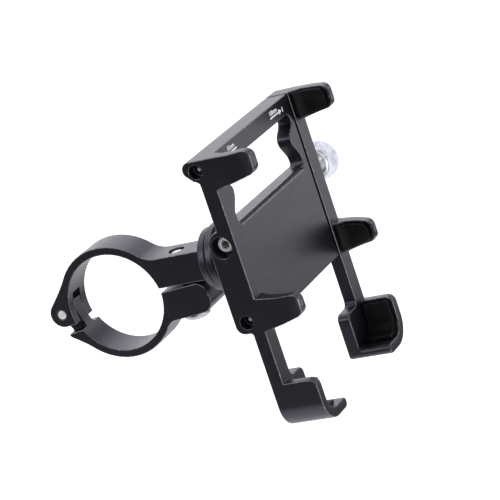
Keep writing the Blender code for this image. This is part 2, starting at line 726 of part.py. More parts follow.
def end_stop_screw(material):
    head_end = STOP_HEAD_START + STOP_HEAD_LENGTH
    profile = [(STOP_HEAD_START, 0), (STOP_HEAD_START, STOP_HEAD_RADIUS - 0.25)]
    profile += [(STOP_HEAD_START + 0.25, STOP_HEAD_RADIUS), (head_end, STOP_HEAD_RADIUS)]
    profile += [(head_end, STOP_SHANK_RADIUS), (STOP_SHANK_END, STOP_SHANK_RADIUS), (STOP_SHANK_END, 0)]
    axis = rod_axis(SCREW_Z)
    screw = turned("end_stop_screw", profile, axis, (1, 0, 0), SMALL_STEPS)
    cut(screw, drum("socket", -31, STOP_HEAD_START + 1.3, 1.15, axis, (1, 0, 0), 6))
    return finish(screw, material, axis)


def end_stop_washer(material):
    axis = rod_axis(SCREW_Z)
    start = STOP_HEAD_START + STOP_HEAD_LENGTH + 0.1
    washer = drum("end_stop_washer", start, DRIVE_START - 0.1, STOP_WASHER_RADIUS, axis, (1, 0, 0))
    cut(washer, drum("eye", -30, -20, STOP_SHANK_RADIUS + 0.12, axis, (1, 0, 0), 16))
    return finish(washer, material, axis)


def retaining_clip(material):
    """A snap ring in the screw's groove; its mouth is open downwards."""
    outer = arc((0, 0), CLIP_OUTER_RADIUS, -60, 240, 20)
    inner = arc((0, 0), CLIP_INNER_RADIUS, 240, -60, 20)
    outline = [(SCREW_DEPTH + a, SCREW_Z + b) for a, b in outer + inner]
    clip = prism("retaining_clip", outline, side_point, CLIP_START, CLIP_START + CLIP_THICKNESS)
    return finish(clip, material, rod_axis(SCREW_Z))


def knob_collar(material):
    axis = rod_axis(SCREW_Z)
    start = HALF_WIDTH + 0.15
    collar = drum("knob_collar", start, COLLAR_END, COLLAR_RADIUS, axis, (1, 0, 0), 32, chamfer=0.5)
    cut(collar, drum("eye", 30, 40, DRIVE_RADIUS + 0.12, axis, (1, 0, 0)))
    return finish(collar, material, axis)


def knob(material):
    axis = rod_axis(SCREW_Z)
    profile = [(KNOB_START, 0), (KNOB_START, KNOB_NECK_RADIUS), (KNOB_START + KNOB_TAPER, KNOB_RADIUS)]
    profile += [(KNOB_END - 0.6, KNOB_RADIUS), (KNOB_END, KNOB_RADIUS - 0.6), (KNOB_END, 0)]
    wheel = turned("knob", profile, axis, (1, 0, 0), 36)
    cut(wheel, drum("socket", 30, DRIVE_END + 0.15, DRIVE_RADIUS + 0.12, axis, (1, 0, 0)))
    return finish(wheel, material, axis)


def build():
    clear_scene()
    aluminium, rubber, steel, nylon = black_anodised(), black_rubber(), bright_steel(), dark_nylon()
    clamp_arm(aluminium)
    lower_clamp_shell(aluminium)
    hinge_pin(steel)
    clamp_bolt(steel)
    swivel_spindle(steel)
    swivel_washer(nylon)
    swivel_set_screw("swivel_set_screw_right", 1, steel)
    swivel_set_screw("swivel_set_screw_left", -1, steel)
    holder_body(aluminium)
    moving_jaw(aluminium)
    upper_rod, lower_rod = rod_heights()
    guide_rod("guide_rod_upper", upper_rod, steel)
    guide_rod("guide_rod_lower", lower_rod, steel)
    drive_screw(steel)
    end_stop_screw(steel)
    end_stop_washer(steel)
    retaining_clip(steel)
    knob_collar(steel)
    knob(steel)
    for label, side in (("fixed", -1), ("moving", 1)):
        for which in FINGERS:
            finger_pad(f"{label}_{which}_pad", side, which, rubber)
        cup_pad(f"{label}_cup_pad", side, rubber)


build()
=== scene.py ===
"""Finished look of a handlebar phone mount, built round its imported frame.

X runs along the handlebar, -Y towards the phone and +Z up the holder. Positions are in metres;
profiles and small sizes are in millimetres, and MM turns them into metres.
"""
import json
import math

import bmesh
import bpy
from mathutils import Matrix, Vector
from mathutils.bvhtree import BVHTree

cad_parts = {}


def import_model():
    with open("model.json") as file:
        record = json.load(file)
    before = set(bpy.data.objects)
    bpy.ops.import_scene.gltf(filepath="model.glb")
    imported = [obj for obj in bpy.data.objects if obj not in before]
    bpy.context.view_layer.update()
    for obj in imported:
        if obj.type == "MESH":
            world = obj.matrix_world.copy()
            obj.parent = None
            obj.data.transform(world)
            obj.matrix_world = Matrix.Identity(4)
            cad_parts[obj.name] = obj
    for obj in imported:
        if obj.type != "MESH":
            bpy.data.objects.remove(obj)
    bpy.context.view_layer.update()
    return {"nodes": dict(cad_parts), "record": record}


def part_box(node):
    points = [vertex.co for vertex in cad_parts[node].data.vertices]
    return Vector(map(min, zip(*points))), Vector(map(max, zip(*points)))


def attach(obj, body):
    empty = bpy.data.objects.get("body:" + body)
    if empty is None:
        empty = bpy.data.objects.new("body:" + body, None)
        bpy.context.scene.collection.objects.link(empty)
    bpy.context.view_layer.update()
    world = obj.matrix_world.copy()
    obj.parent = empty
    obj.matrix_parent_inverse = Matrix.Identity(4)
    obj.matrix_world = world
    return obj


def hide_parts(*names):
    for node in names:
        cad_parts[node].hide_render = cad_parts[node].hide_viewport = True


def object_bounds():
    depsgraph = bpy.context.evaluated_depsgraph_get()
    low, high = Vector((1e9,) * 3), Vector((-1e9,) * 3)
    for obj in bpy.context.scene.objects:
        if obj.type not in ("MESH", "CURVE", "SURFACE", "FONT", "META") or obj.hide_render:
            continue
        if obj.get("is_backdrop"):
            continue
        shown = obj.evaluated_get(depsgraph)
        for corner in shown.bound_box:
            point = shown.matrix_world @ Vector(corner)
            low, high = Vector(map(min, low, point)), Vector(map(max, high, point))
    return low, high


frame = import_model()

MM = 0.001
PLATE_FRONT = next(m for m in frame["record"]["mounts"] if m["name"] == "phone_rest")["pos_m"][1]

# Corner widths in millimetres: tumbled aluminium, moulded rubber, and what a drill or a lathe leaves
TUMBLED, MOULDED, CRISP = 0.3, 0.25, 0.12


# Node materials

class Graph:
    """A material's nodes, with short calls for the ones used here."""

    def __init__(self, name):
        self.material = bpy.data.materials.new(name)
        self.material.use_nodes = True
        self.nodes = self.material.node_tree.nodes
        self.links = self.material.node_tree.links
        self.shader = self.nodes["Principled BSDF"]
        self.place = self.node("ShaderNodeTexCoord").outputs["Object"]

    def node(self, kind, **inputs):
        made = self.nodes.new(kind)
        for name, value in inputs.items():
            socket = made.inputs[name.replace("_", " ")]
            if isinstance(value, bpy.types.NodeSocket):
                self.links.new(value, socket)
            else:
                socket.default_value = value
        return made

    def stretched(self, scale):
        """Object coordinates stretched by a factor on each axis."""
        return self.node("ShaderNodeMapping", Vector=self.place, Scale=scale).outputs["Vector"]

    def noise(self, scale, detail=2.0, place=None):
        """Noise with a number of cells to the metre, or to the unit of another place."""
        vector = place or self.place
        return self.node("ShaderNodeTexNoise", Vector=vector, Scale=scale, Detail=detail).outputs["Fac"]

    def spread(self, value, low, high, start=0.3, end=0.7):
        """Maps a noise value from its usual range to low..high."""
        made = self.node("ShaderNodeMapRange", Value=value)
        made.inputs["From Min"].default_value = start
        made.inputs["From Max"].default_value = end
        made.inputs["To Min"].default_value = low
        made.inputs["To Max"].default_value = high
        return made.outputs["Result"]

    def ramp(self, value, stops):
        """Colours a value by stops, each a position and a colour."""
        made = self.node("ShaderNodeValToRGB", Fac=value)
        elements = made.color_ramp.elements
        while len(elements) < len(stops):
            elements.new(0.5)
        for element, (position, colour) in zip(elements, stops):
            element.position = position
            element.color = (*colour, 1.0)
        return made.outputs["Color"]

    def bump(self, height, distance, strength=1.0, normal=None):
        """Relief of a depth in metres, on top of another normal if there is one."""
        made = self.node("ShaderNodeBump", Height=height, Distance=distance, Strength=strength)
        if normal:
            self.links.new(normal, made.inputs["Normal"])
        return made.outputs["Normal"]

    def wire(self, name, value):
        """Sets a socket of the shader to a number or a colour, or links a node's output to it."""
        socket = self.shader.inputs[name]
        if isinstance(value, bpy.types.NodeSocket):
            self.links.new(value, socket)
        else:
            socket.default_value = value


# The black oxide reflects with a cool tint, weaker where it is rubbed
SATIN_TINT = (0.80, 0.80, 1.0, 1)
EDGE_TINT = (0.90, 0.90, 1.0, 1)


def anodised():
    """Bead-blasted aluminium under a satin black oxide."""
    graph = Graph("anodised_black")
    dark, pale = (0.0012, 0.0012, 0.0018), (0.0030, 0.0031, 0.0042)
    graph.wire("Base Color", graph.ramp(graph.noise(70, 4), [(0.32, dark), (0.7, pale)]))
    graph.wire("Roughness", graph.spread(graph.noise(420, 5), 0.37, 0.41))
    blasting = graph.bump(graph.noise(5200, 3), 0.00002, 0.26)
    graph.wire("Normal", graph.bump(graph.noise(1700, 2), 0.00001, 0.08, blasting))
    graph.wire("IOR", 1.62)
    graph.wire("Specular Tint", SATIN_TINT)
    return graph.material


def anodised_edge():
    """The same oxide on machined corners: smoother, a little paler and rubbed through in specks."""
    graph = Graph("anodised_edge")
    rub, whole, bare = graph.noise(1000, 6), 0.55, 0.74
    oxide, metal = (0.012, 0.012, 0.015), (0.26, 0.26, 0.28)
    graph.wire("Base Color", graph.ramp(rub, [(whole, oxide), (bare, metal)]))
    graph.wire("Metallic", graph.spread(rub, 0.0, 0.8, whole, bare))
    graph.wire("Roughness", graph.spread(graph.noise(600, 4), 0.24, 0.34))
    graph.wire("Normal", graph.bump(graph.noise(5200, 3), 0.00002, 0.15))
    graph.wire("IOR", 1.9)
    graph.wire("Specular Tint", EDGE_TINT)
    return graph.material


def rubber():
    """Matt moulded rubber with a fine leathery skin."""
    graph = Graph("rubber_black")
    clean, dusty = (0.0016, 0.0016, 0.0018), (0.0045, 0.0045, 0.0048)
    graph.wire("Base Color", graph.ramp(graph.noise(260, 5), [(0.35, clean), (0.75, dusty)]))
    graph.wire("Roughness", graph.spread(graph.noise(800, 3), 0.50, 0.62))
    skin = graph.node("ShaderNodeTexVoronoi", Vector=graph.place, Scale=3600.0).outputs["Distance"]
    graph.wire("Normal", graph.bump(skin, 0.00002, 0.3))
    graph.wire("Specular IOR Level", 0.16)
    return graph.material


def turned_steel(name, axis, colour, low, high, depth, metallic=1.0):
    """Steel with the fine rings that a lathe leaves round an axis, as deep as depth in metres. Its
    roughness lies between low and high. Dull plating is less metallic than bare steel."""
    graph = Graph(name)
    fine, coarse = 26000.0, 300.0
    rings = graph.stretched([fine if index == axis else coarse for index in range(3)])
    lines = graph.noise(1.0, 3, rings)
    shade = tuple(0.9 * c for c in colour)
    graph.wire("Base Color", graph.ramp(graph.noise(350, 4), [(0.3, shade), (0.7, colour)]))
    graph.wire("Metallic", metallic)
    graph.wire("Roughness", graph.spread(lines, low, high))
    graph.wire("Normal", graph.bump(lines, depth, 0.25))
    return graph.material


def nylon():
    """Dark grey nylon with a slightly uneven moulded skin."""
    graph = Graph("nylon_dark")
    dark, pale = (0.010, 0.010, 0.011), (0.018, 0.018, 0.019)
    graph.wire("Base Color", graph.ramp(graph.noise(300, 4), [(0.3, dark), (0.7, pale)]))
    graph.wire("Roughness", graph.spread(graph.noise(900, 3), 0.45, 0.6))
    graph.wire("Normal", graph.bump(graph.noise(4000, 2), 0.00001, 0.2))
    return graph.material


def print_ink():
    """White pad-printed ink, thin enough to let a little of the oxide through."""
    graph = Graph("print_white")
    thin, full = (0.42, 0.42, 0.43), (0.86, 0.86, 0.86)
    graph.wire("Base Color", graph.ramp(graph.noise(2600, 5), [(0.34, thin), (0.5, full)]))
    graph.wire("Roughness", graph.spread(graph.noise(1500, 2), 0.45, 0.6))
    return graph.material


ANODISED = anodised()
ANODISED_EDGE = anodised_edge()
RUBBER = rubber()
NYLON = nylon()
INK = print_ink()
# Plated and ground steel, by the axis that the rings run round: 0 is X, 1 is Y and 2 is Z
STEEL = {
    axis: turned_steel(f"steel_plated_{'xyz'[axis]}", axis, (0.84, 0.84, 0.83), 0.26, 0.38, 0.000004, 0.5)
    for axis in (0, 1, 2)
}
GROUND = {
    axis: turned_steel(f"steel_ground_{'xyz'[axis]}", axis, (0.44, 0.44, 0.455), 0.30, 0.38, 0.000002)
    for axis in (0, 2)
}
KNURLED = turned_steel("steel_knurled", 0, (0.74, 0.76, 0.85), 0.36, 0.46, 0.000002, 0.6)
SATIN = turned_steel("steel_satin", 0, (0.40, 0.41, 0.45), 0.30, 0.40, 0.000004)
# The dark steel inside hexagon sockets is painted shade: it stands in for the shade deep in the recess
SOCKET_PAINTED_SHADE = turned_steel("steel_socket_painted_shade", 0, (0.20, 0.20, 0.20), 0.24, 0.36, 0.000002)
# A brighter steel for chamfers: partly a fresh polished cut, partly a painted highlight where the edges catch
# the light
CHAMFER_PAINTED_HIGHLIGHT = turned_steel("steel_chamfer_painted_highlight", 0, (0.95, 0.95, 0.96), 0.30, 0.34, 0.000001, 0.6)


# Pieces

def place_piece(name, mesh_edit, materials, body, nodes=(), smooth_angle=40):
    """Turns a bmesh into a named piece that rides a body and stands for CAD nodes."""
    mesh = bpy.data.meshes.new(name)
    mesh_edit.to_mesh(mesh)
    mesh_edit.free()
    for material in materials:
        mesh.materials.append(material)
    mesh.shade_smooth()
    mesh.set_sharp_from_angle(angle=math.radians(smooth_angle))
    piece = bpy.data.objects.new(name, mesh)
    bpy.context.scene.collection.objects.link(piece)
    weighted = piece.modifiers.new("even_shading", "WEIGHTED_NORMAL")
    weighted.keep_sharp = True
    weighted.weight = 80
    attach(piece, body)
    if nodes:
        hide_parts(*nodes)
    return piece


def body_of(node):
    """Name of the body that a CAD node belongs to."""
    bodies = frame["record"]["behaviour"]["bodies"]
    return next(body for body, members in bodies.items() if node in members)


# Machined and moulded solids: the CAD solid with its corners broken

def corners_of(mesh_edit, sharp):
    """Edges that bend more than an angle in degrees."""
    return [e for e in mesh_edit.edges if e.is_manifold and e.calc_face_angle(0) > math.radians(sharp)]


def swivel_rim():
    """Centre of the swivel's washer, and its radius."""
    low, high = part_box("swivel_washer")
    return (low + high) / 2, (high.x - low.x) / 2


SWIVEL_CENTRE, SWIVEL_RADIUS = swivel_rim()


def on_swivel(vert):
    """Whether a corner belongs to the turned rings of the swivel, on either side of its washer."""
    rings_half_width, rings_depth = 4.5 * MM, 1.8 * MM
    offset = vert.co - SWIVEL_CENTRE
    radius = math.hypot(offset.x, offset.z)
    return abs(offset.y) < rings_half_width and abs(radius - SWIVEL_RADIUS) < rings_depth


def bore_rims():
    """Axis of each bore along the handlebar that a rod or a screw shows in, and a radius that takes in its
    rims. The room beyond the rod or the screw's head is in millimetres."""
    rims = []
    for node, room in (("guide_rod_upper", 0.6), ("guide_rod_lower", 0.6), ("end_stop_screw", 1.25)):
        low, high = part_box(node)
        rims.append(((low + high) / 2, (high.y - low.y) / 2 + room * MM))
    return rims


BORE_RIMS = bore_rims()


def on_bore(vert):
    """Whether a corner belongs to the rim of such a bore."""
    return any(math.hypot(vert.co.y - axis.y, vert.co.z - axis.z) < reach for axis, reach in BORE_RIMS)


def drilled_or_turned(vert):
    return on_swivel(vert) or on_bore(vert)


def edges_where(mesh_edit, sharp, test):
    """Corner edges whose two ends pass a test."""
    return [e for e in corners_of(mesh_edit, sharp) if all(map(test, e.verts))]


def break_corners(mesh_edit, edges, width, segments, material):
    """Rounds edges by a width in millimetres."""
    bmesh.ops.bevel(
        mesh_edit,
        geom=edges,
        offset=width * MM,
        offset_type="OFFSET",
        segments=segments,
        profile=0.5,
        affect="EDGES",
        clamp_overlap=False,
        material=material,
    )


def keep_inner_corners_dark(mesh_edit):
    """Gives the rounded faces of inner corners, which nothing rubs, the base material."""
    for face in mesh_edit.faces:
        bend = sum(e.calc_face_angle_signed(0) * e.calc_length() for e in face.edges if e.is_manifold)
        if bend < 0:
            face.material_index = 0


def pull_in_mitres(mesh_edit, surface):
    """Brings back to the CAD surface the few points that a mitre between corners throws past it."""
    furthest = 0.25 * MM
    for vert in mesh_edit.verts:
        nearest, normal, _, distance = surface.find_nearest(vert.co)
        if distance > furthest and (vert.co - nearest).dot(normal) > 0:
            vert.co = nearest


def machined(node, width, materials, segments=2, sharp=30, weld=0.06):
    """A copy of a CAD solid with every corner rounded by a width in millimetres, except that turned and
    drilled corners are crisp. Edges shorter than weld, in millimetres, are closed first. The last
    material goes on the corners that wear."""
    mesh_edit = bmesh.new()
    mesh_edit.from_mesh(frame["nodes"][node].data)
    surface = BVHTree.FromBMesh(mesh_edit)
    bmesh.ops.remove_doubles(mesh_edit, verts=mesh_edit.verts, dist=2e-6)
    bmesh.ops.dissolve_limit(
        mesh_edit, angle_limit=math.radians(1), verts=mesh_edit.verts, edges=mesh_edit.edges
    )
    bmesh.ops.dissolve_degenerate(mesh_edit, dist=weld * MM, edges=mesh_edit.edges)
    rubbed = len(materials) - 1
    break_corners(mesh_edit, edges_where(mesh_edit, sharp, on_swivel), CRISP, 3, 0)
    break_corners(mesh_edit, edges_where(mesh_edit, sharp, on_bore), CRISP, 3, rubbed)
    coarse = [e for e in corners_of(mesh_edit, sharp) if not all(map(drilled_or_turned, e.verts))]
    break_corners(mesh_edit, coarse, width, segments, rubbed)
    pull_in_mitres(mesh_edit, surface)
    keep_inner_corners_dark(mesh_edit)
    return place_piece(f"{node}_finished", mesh_edit, materials, body_of(node), [node], 50)


# Turned pieces

def hexagon(half_flats):
    """Radius of a hexagon at an angle."""
    def radius(angle, along):
        return half_flats / math.cos((angle + math.pi / 6) % (math.pi / 3) - math.pi / 6)
    return radius


def thread(major, depth, pitch):
    """Radius of a screw thread with flat crests and roots."""
    def radius(angle, along):
        wave = abs(2 * ((along / pitch - angle / (2 * math.pi)) % 1) - 1)
        return major - depth * min(1.0, max(0.0, 1.35 * wave - 0.18))
    return radius


def knurl(major, depth, count):
    """Radius of straight V-shaped knurling."""
    def radius(angle, along):
        return major - depth * abs(2 * ((angle * count / (2 * math.pi)) % 1) - 1)
    return radius


def threaded(start, end, major, depth, pitch):
    """Rings of a thread between two positions, with short run-outs at both ends."""
    rings_per_turn = 7
    count = max(2, round((end - start) / pitch * rings_per_turn))
    rings = []
    for index in range(count + 1):
        along = start + (end - start) * index / count
        run_out = min(1.0, min(along - start, end - along) / pitch)
        rings.append((along, thread(major, depth * run_out, pitch)))
    return rings


def turned(name, profile, node, axis, materials, steps=48, closed=False, sharp=35, core=0.0):
    """A turned piece on the axis of a CAD node. The profile gives positions along the axis and radii in
    millimetres; a radius may be a function of angle and position. Closed profiles make rings. Where
    there is a second material, the chamfers and rounded corners take it, or instead the faces within
    the radius called core."""
    low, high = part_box(node)
    origin = (low + high) / 2
    origin[axis] = 0.0
    across = [(axis + 1) % 3, (axis + 2) % 3]
    mesh_edit = bmesh.new()
    rings = []
    for along, radius in profile:
        if radius == 0:
            point = origin.copy()
            point[axis] = along * MM
            rings.append([mesh_edit.verts.new(point)])
            continue
        ring = []
        for index in range(steps):
            angle = 2 * math.pi * index / steps
            reach = (radius(angle, along) if callable(radius) else radius) * MM
            point = origin.copy()
            point[axis] = along * MM
            point[across[0]] += reach * math.cos(angle)
            point[across[1]] += reach * math.sin(angle)
            ring.append(mesh_edit.verts.new(point))
        rings.append(ring)
    pairs = list(zip(rings, rings[1:])) + ([(rings[-1], rings[0])] if closed else [])
    for lower, upper in pairs:
        for index in range(steps):
            after = (index + 1) % steps
            corners = [lower[index % len(lower)], lower[after % len(lower)],
                       upper[after % len(upper)], upper[index % len(upper)]]
            mesh_edit.faces.new(list(dict.fromkeys(corners)))
    bmesh.ops.recalc_face_normals(mesh_edit, faces=mesh_edit.faces)
    for face in mesh_edit.faces if len(materials) > 1 else ():
        offset = face.calc_center_median() - origin
        reach = math.hypot(offset[across[0]], offset[across[1]]) / MM
        # Slanted faces take the second material; on the collar that is the brighter chamfer steel, partly a
        # painted highlight
        slanted = 0.25 < abs(face.normal[axis]) < 0.97
        face.material_index = int(reach < core if core else slanted)
    return place_piece(f"{node}_{name}", mesh_edit, materials, body_of(node), [node], sharp)


def ends(node, axis):
    """Where a node starts and ends along an axis, and its radius, in millimetres."""
    low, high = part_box(node)
    across = (axis + 1) % 3
    return low[axis] / MM, high[axis] / MM, (high[across] - low[across]) / 2 / MM


def rounded(along, radius, size, inward, steps=4):
    """Rings of a round corner. inward is +1 where the solid lies at larger positions, or -1."""
    rings = []
    for index in range(steps + 1):
        angle = math.radians(90 * index / steps)
        rings.append((along + inward * size * (1 - math.sin(angle)), radius - size * (1 - math.cos(angle))))
    return rings[::-1] if inward > 0 else rings


def socket(face, bottom, half_flats, inward):
    """Rings of a hexagon socket, from the bottom of its drill point to its mouth."""
    mouth = hexagon(half_flats)
    lip = hexagon(half_flats + 0.12)
    drill_point = [(bottom + inward * 0.35, 0), (bottom, half_flats * 0.9)]
    return drill_point + [(bottom, mouth), (face + inward * 0.12, mouth), (face, lip)]


def guide_rods():
    """Ground rods, each with a taper down to a small bright tip at the near rail."""
    for node in ("guide_rod_upper", "guide_rod_lower"):
        start, end, radius = ends(node, 0)
        tip, taper = 0.55, 0.9
        profile = [(start, 0), (start, tip - 0.1), (start + 0.1, tip), (start + taper, radius)]
        profile += rounded(end, radius, 0.3, -1) + [(end, 0)]
        turned("polished", profile, node, 0, [GROUND[0], STEEL[0]], core=tip)


def hinge_pin():
    """Plain pin with rounded ends."""
    start, end, radius = ends("hinge_pin", 0)
    profile = [(start, 0)] + rounded(start, radius, 0.22, 1) + rounded(end, radius, 0.22, -1) + [(end, 0)]
    turned("turned", profile, "hinge_pin", 0, [STEEL[0]])


def clamp_bolt():
    """Bolt with a domed hexagon-socket head at its lower end; its socket and its tip are brighter."""
    low, high, head = ends("clamp_bolt", 2)
    shank, pitch = 1.95, 0.7
    socket_depth, half_flats, dome = 1.3, 1.25, 1.4
    head_top = low + 1.75
    profile = socket(low, low + socket_depth, half_flats, 1) + [(low, 1.9)]
    profile += rounded(low, head, dome, 1, 6) + [(head_top - 0.1, head), (head_top, head - 0.1)]
    profile += [(head_top, shank + 0.15), (head_top + 0.2, shank)]
    profile += threaded(head_top + 1.0, high - 0.35, shank, 0.3, pitch)
    profile += [(high, shank - 0.45), (high - 0.02, 0)]
    turned("threaded", profile, "clamp_bolt", 2, [GROUND[2], STEEL[2]], 36, core=1.3)


def drive_screw():
    """Long screw with a tapped hole for the end stop and a groove for the retaining clip."""
    start, end, radius = ends("drive_screw", 0)
    clip_start, clip_end, _ = ends("retaining_clip", 0)
    tapping, tapping_depth = 1.27, 4.5
    groove, groove_start, groove_end = 2.05, clip_start - 0.1, clip_end + 0.1
    pitch = 0.8
    profile = [(start + tapping_depth, 0), (start + tapping_depth - 0.5, tapping)]
    profile += [(start + 0.2, tapping), (start, tapping + 0.2), (start, radius - 0.4), (start + 0.4, radius)]
    profile += threaded(start + 0.5, clip_start - 0.5, radius, 0.42, pitch)
    profile += [(groove_start, radius), (groove_start, groove), (groove_end, groove), (groove_end, radius)]
    profile += rounded(end, radius, 0.4, -1) + [(end, 0)]
    turned("threaded", profile, "drive_screw", 0, [GROUND[0]], 30)


def end_stop_screw():
    """Cap screw with a hexagon socket, its inside a dark steel that is painted shade."""
    start, end, radius = ends("end_stop_screw", 0)
    shank, pitch = 1.15, 0.45
    socket_depth, half_flats = 1.3, 1.2
    head_end = start + 2.5
    profile = socket(start, start + socket_depth, half_flats, 1) + [(start, 1.55)]
    profile += rounded(start, radius, 0.35, 1)
    profile += [(head_end - 0.1, radius), (head_end, radius - 0.1), (head_end, shank)]
    profile += threaded(head_end + 0.2, end - 0.2, shank, 0.18, pitch) + [(end, shank - 0.2), (end, 0)]
    turned("threaded", profile, "end_stop_screw", 0, [STEEL[0], SOCKET_PAINTED_SHADE], 36, core=1.24)


def set_screws():
    """Grub screws whose tips run in the spindle's groove."""
    socket_depth, half_flats, pitch = 1.4, 0.85, 0.5
    for node, sign in (("swivel_set_screw_left", -1), ("swivel_set_screw_right", 1)):
        start, end, radius = ends(node, 0)
        tip, mouth = (end, start) if sign < 0 else (start, end)
        inward = -sign
        profile = socket(mouth, mouth + inward * socket_depth, half_flats, inward)
        profile += [(mouth, radius - 0.3)]
        low, high = sorted((mouth + inward * 0.3, tip - inward * 0.8))
        turns = threaded(low, high, radius, 0.22, pitch)
        profile += turns if inward > 0 else turns[::-1]
        profile += [(tip - inward * 0.7, radius - 0.25), (tip, radius - 0.85), (tip, 0)]
        # Inside the socket the dark steel is painted shade of the recess
        turned("threaded", profile, node, 0, [STEEL[0], SOCKET_PAINTED_SHADE], 30, core=0.88)


def swivel_spindle():
    """Stud with a groove for the grub screws and a threaded end in the arm."""
    front, back, radius = ends("swivel_spindle", 1)
    stud, pitch = 2.5, 0.8
    shoulder = back - 7.9
    groove, flank = 3.2, 0.8
    groove_front, groove_back = front + 2.6, front + 6.2
    profile = [(front, 0)] + rounded(front, radius, 0.4, 1)
    profile += [(groove_front, radius), (groove_front + flank, groove)]
    profile += [(groove_back - flank, groove), (groove_back, radius)]
    profile += [(shoulder - 0.2, radius), (shoulder, radius - 0.2), (shoulder, stud)]
    profile += threaded(shoulder + 0.4, back - 0.3, stud, 0.35, pitch) + [(back, stud - 0.4), (back, 0)]
    turned("turned", profile, "swivel_spindle", 1, [STEEL[1]], 36)


def ring_piece(node, axis, inner, corner, materials, name):
    """A washer with an inner radius and rounded corners, in millimetres."""
    start, end, radius = ends(node, axis)
    profile = rounded(start, radius, corner, 1, 3) + rounded(end, radius, corner, -1, 3)
    profile += [(end, inner + corner), (end - corner, inner)]
    profile += [(start + corner, inner), (start, inner + corner)]
    return turned(name, profile, node, axis, materials, 64, closed=True)


KNOB_BORE = 2.57


def knob_collar():
    """Satin collar with two chamfers in a brighter steel, partly a polished cut and partly a painted
    highlight: a sleeve against the jaw and a wider ring against the knob.
    """
    start, end, radius = ends("knob_collar", 0)
    sleeve = radius - 0.45
    profile = [(start, KNOB_BORE + 0.2), (start, sleeve - 0.25), (start + 0.25, sleeve)]
    profile += [(end - 1.3, sleeve), (end - 1.0, radius), (end - 0.2, radius), (end, radius - 0.2)]
    profile += [(end, KNOB_BORE + 0.2)]
    turned("polished", profile, "knob_collar", 0, [SATIN, CHAMFER_PAINTED_HIGHLIGHT], 64, closed=True)


def knob():
    """Knurled wheel that tapers towards the jaw; its grooves run along the taper and the rim."""
    start, end, radius = ends("knob", 0)
    count, depth = 54, 0.2
    neck, taper, dish = 4.3, 2.0, 0.35
    screw_end = ends("drive_screw", 0)[1] + 0.15
    profile = [(screw_end, 0), (screw_end, KNOB_BORE), (start + 0.15, KNOB_BORE), (start, KNOB_BORE + 0.2)]
    profile += [(start, neck - 0.35), (start + 0.12, knurl(neck - 0.08, 0.02, count))]
    for step in (0.25, 0.6, 1.0):
        slope = neck + (radius - neck) * step
        profile.append((start + taper * step, knurl(slope - 0.02, depth * min(1.0, 2 * step), count)))
    profile += [(end - 0.75, knurl(radius, depth, count)), (end - 0.6, knurl(radius - 0.05, depth, count))]
    profile += [(end - 0.25, knurl(radius - 0.35, depth * 0.5, count)), (end, radius - 0.9)]
    profile += [(end, radius - 2.4), (end - dish, radius - 2.7), (end - dish, 0)]
    turned("knurled", profile, "knob", 0, [KNURLED], count * 4, sharp=28)


def washers():
    """The thin washer of the swivel and the one under the end stop's head."""
    corner, swivel_bore, stop_bore = 0.08, 4.25, 1.27
    ring_piece("swivel_washer", 1, swivel_bore, corner, [NYLON], "moulded")
    ring_piece("end_stop_washer", 0, stop_bore, corner, [STEEL[0]], "stamped")


def retaining_clip():
    """Stamped snap ring."""
    machined("retaining_clip", 0.1, [STEEL[0]], weld=0.01)


# Print on the top bar

INK_THICKNESS = 0.00003


def flat_outline(mesh_edit, outline):
    """Adds a thin flat shape to the face of the bar, given as (x, z) points in millimetres."""
    outline = [(x * MM, z * MM) for x, z in outline]
    near = [mesh_edit.verts.new((x, PLATE_FRONT - INK_THICKNESS, z)) for x, z in outline]
    back = [mesh_edit.verts.new((x, PLATE_FRONT + INK_THICKNESS, z)) for x, z in outline]
    mesh_edit.faces.new(near)
    mesh_edit.faces.new(back[::-1])
    count = len(outline)
    for index in range(count):
        after = (index + 1) % count
        mesh_edit.faces.new((near[index], back[index], back[after], near[after]))


def lettering(mesh_edit, text, left, base, height):
    """Adds text to the face of the bar as thin solid letters, with sizes in millimetres."""
    digit_height = 0.72
    curve = bpy.data.curves.new("letters", "FONT")
    curve.body = text
    curve.size = height * MM / digit_height
    curve.extrude = INK_THICKNESS
    curve.resolution_u = 4
    curve.space_character = 0.97
    curve.offset = 0.00004
    holder = bpy.data.objects.new("letters", curve)
    bpy.context.scene.collection.objects.link(holder)
    bpy.context.view_layer.update()
    shapes = bpy.data.meshes.new_from_object(holder.evaluated_get(bpy.context.evaluated_depsgraph_get()))
    upright = Matrix.Rotation(math.radians(90), 4, "X")
    shapes.transform(Matrix.Translation((left * MM, PLATE_FRONT, base * MM)) @ upright)
    mesh_edit.from_mesh(shapes)
    bpy.data.objects.remove(holder, do_unlink=True)


def bar(mesh_edit, left, right, bottom, top):
    """A printed rectangle, its edges in millimetres."""
    flat_outline(mesh_edit, [(left, bottom), (right, bottom), (right, top), (left, top)])


def size_marks():
    """The two width marks: a plain one at the closed end and one with an arrow to a stop at the open end."""
    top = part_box("holder_body")[1].z / MM
    base, height = top - 2.4, 1.3
    stroke = (top - 3.3, top - 2.85)
    middle, head_reach, stop_reach = sum(stroke) / 2, 0.9, 0.7
    small_left, small_right = -19.1, -13.6
    small = bmesh.new()
    lettering(small, "55mm", small_left, base, height)
    bar(small, small_left, small_right, *stroke)
    place_piece("print_small_size", small, [INK], "holder")
    large_left, large_right, arrow_tip, stop_left, stop_right = 10.6, 17.0, 18.6, 19.2, 19.7
    head_left = large_right - 0.2
    large = bmesh.new()
    lettering(large, "100mm", large_left, base, height)
    bar(large, large_left, large_right, *stroke)
    arrow_head = [(head_left, middle - head_reach), (arrow_tip, middle), (head_left, middle + head_reach)]
    flat_outline(large, arrow_head)
    bar(large, stop_left, stop_right, middle - stop_reach, middle + stop_reach)
    place_piece("print_large_size", large, [INK], "holder")


# Stage

def aim(thing, target):
    """Turns a light towards a point."""
    direction = Vector(target) - thing.location
    thing.rotation_euler = direction.to_track_quat("-Z", "Y").to_euler()


